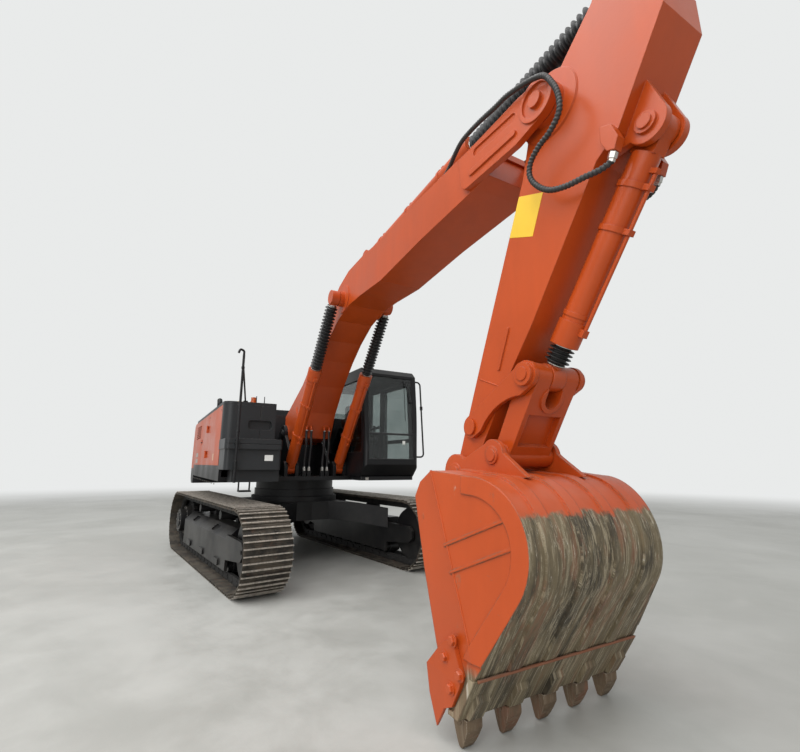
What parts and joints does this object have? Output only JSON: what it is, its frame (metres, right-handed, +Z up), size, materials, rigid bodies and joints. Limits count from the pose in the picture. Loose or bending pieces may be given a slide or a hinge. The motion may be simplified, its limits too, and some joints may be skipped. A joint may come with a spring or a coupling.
{
  "type": "crawler excavator",
  "caption": "Crawler excavator with a mono boom, arm and digging bucket, a cab beside the boom, and steel tracks.",
  "frame": {"origin": "on the ground below the middle of the parked machine's outline", "axes": "+X forward along the boom, +Y to the machine's left, +Z up"},
  "size_m": [10.5299, 3.7192, 4.8224],
  "materials": {
    "paint": "satin orange enamel",
    "dark_paint": "satin dark grey enamel",
    "black_paint": "satin black enamel",
    "track_steel": "rolled steel, worn bright on the grousers",
    "rod_chrome": "hard chrome",
    "tooth_steel": "worn cast steel",
    "glass": "tinted safety glass",
    "amber": "clear amber lens",
    "rubber": "moulded rubber",
    "seat_fabric": "woven cloth"
  },
  "bodies": {
    "undercarriage": {"carbody": "black_paint", "slew_ring": "black_paint", "track_frame_right": "black_paint", "track_frame_left": "black_paint", "track_right": "track_steel", "track_left": "track_steel", "sprocket_right": "black_paint", "sprocket_left": "black_paint", "idler_right": "black_paint", "idler_left": "black_paint", "rollers_right": "black_paint", "rollers_left": "black_paint"},
    "boom": {"boom": "paint", "boom_pipes": "paint", "foot_hoses": "rubber"},
    "boom_barrels": {"boom_barrels": "paint"},
    "boom_rods": {"boom_rods": "rod_chrome", "boom_boots": "rubber"},
    "arm": {"arm": "paint", "hoses": "rubber"},
    "arm_barrel": {"arm_barrel": "paint"},
    "arm_rod": {"arm_rod": "rod_chrome", "arm_boot": "rubber"},
    "bucket_barrel": {"bucket_barrel": "paint"},
    "bucket_rod": {"bucket_rod": "rod_chrome", "bucket_boot": "rubber"},
    "bucket_lever": {"bucket_lever": "paint"},
    "bucket_link": {"bucket_link": "paint"},
    "bucket": {"bucket": "paint", "bucket_teeth": "tooth_steel", "side_cutters": "paint"},
    "cab_door": {"cab_door": "black_paint", "door_glass": "glass"},
    "engine_hood": {"engine_hood": "dark_paint"},
    "right_door": {"right_door": "paint"},
    "left_door": {"left_door": "paint"},
    "upper": {"main_deck": "black_paint", "counterweight": "paint", "right_box": "dark_paint", "right_panels": "paint", "left_panels": "paint", "top_cover": "dark_paint", "engine_block": "dark_paint", "exhaust": "black_paint", "cab_shell": "black_paint", "cab_glass": "glass", "seat": "seat_fabric", "consoles": "black_paint", "handrails": "black_paint", "steps": "black_paint", "lamps": "amber"}
  },
  "joints": [
    {"name": "swing", "type": "hinge", "parent": "undercarriage", "child": "upper", "pos_m": [-1.81506, 0, 1.18], "axis": [0, 0, 1], "continuous": true},
    {"name": "boom_lift", "type": "hinge", "parent": "upper", "child": "boom", "pos_m": [-1.59506, 0, 2.1], "axis": [0, -1, 0], "range_deg": [-48, 42], "deforming": ["foot_hoses"]},
    {"name": "arm_swing", "type": "hinge", "parent": "boom", "child": "arm", "pos_m": [4.45518, 0, 4.05417], "axis": [0, -1, 0], "range_deg": [-12, 95], "deforming": ["hoses"]},
    {"name": "bucket_curl", "type": "hinge", "parent": "arm", "child": "bucket", "pos_m": [3.42306, 0, 1.5376], "axis": [0, -1, 0], "range_deg": [-150, 8]},
    {"name": "boom_barrel_tilt", "type": "hinge", "parent": "upper", "child": "boom_barrels", "pos_m": [-0.78506, 0, 1.53], "axis": [0, -1, 0], "range_deg": [-50.57, 44.25]},
    {"name": "boom_rod_slide", "type": "slide", "parent": "boom_barrels", "child": "boom_rods", "axis": [0.5984, 0, 0.8012], "range_m": [-0.7579, 0.6633], "deforming": ["boom_boots"]},
    {"name": "arm_barrel_tilt", "type": "hinge", "parent": "boom", "child": "arm_barrel", "pos_m": [1.23462, 0, 4.32965], "axis": [0, -1, 0], "range_deg": [-0.61, 4.82]},
    {"name": "arm_rod_slide", "type": "slide", "parent": "arm_barrel", "child": "arm_rod", "axis": [0.9958, 0, 0.0919], "range_m": [-1.2792, 0.1625], "deforming": ["arm_boot"]},
    {"name": "bucket_barrel_tilt", "type": "hinge", "parent": "arm", "child": "bucket_barrel", "pos_m": [5.05546, 0, 3.50967], "axis": [0, -1, 0], "range_deg": [-0.45, 8.45]},
    {"name": "bucket_rod_slide", "type": "slide", "parent": "bucket_barrel", "child": "bucket_rod", "axis": [-0.5658, 0, -0.8246], "range_m": [-0.0584, 1.0764], "deforming": ["bucket_boot"]},
    {"name": "lever_swing", "type": "hinge", "parent": "arm", "child": "bucket_lever", "pos_m": [3.56422, 0, 1.88178], "axis": [0, -1, 0], "range_deg": [-113.09, 6.03]},
    {"name": "link_swing", "type": "hinge", "parent": "bucket", "child": "bucket_link", "pos_m": [3.85006, 0, 1.6636], "axis": [0, -1, 0], "range_deg": [-5.38, 100.81]},
    {"name": "cab_door_swing", "type": "hinge", "parent": "upper", "child": "cab_door", "pos_m": [-1.16506, 1.505, 2.2], "axis": [0, 0, 1], "range_deg": [0, 150]},
    {"name": "right_door_swing", "type": "hinge", "parent": "upper", "child": "right_door", "pos_m": [-2.23806, -1.5, 2], "axis": [0, 0, 1], "range_deg": [0, 110]},
    {"name": "left_door_swing", "type": "hinge", "parent": "upper", "child": "left_door", "pos_m": [-3.31506, 1.5, 2], "axis": [0, 0, 1], "range_deg": [0, 110]},
    {"name": "hood_lift", "type": "hinge", "parent": "upper", "child": "engine_hood", "pos_m": [-2.95106, 0, 2.515], "axis": [0, 1, 0], "range_deg": [0, 60]}
  ],
  "couplings": [
    {"joint": "boom_barrel_tilt", "follows": "boom_lift", "ratio": 1.0229},
    {"joint": "boom_rod_slide", "follows": "boom_lift", "m_per_rad": 0.8858},
    {"joint": "arm_barrel_tilt", "follows": "arm_swing", "ratio": 0.0492},
    {"joint": "arm_rod_slide", "follows": "arm_swing", "m_per_rad": -0.7558},
    {"joint": "bucket_barrel_tilt", "follows": "bucket_curl", "ratio": -0.0547},
    {"joint": "bucket_rod_slide", "follows": "bucket_curl", "m_per_rad": -0.4027},
    {"joint": "lever_swing", "follows": "bucket_curl", "ratio": 0.732},
    {"joint": "link_swing", "follows": "bucket_curl", "ratio": -0.6525}
  ]
}
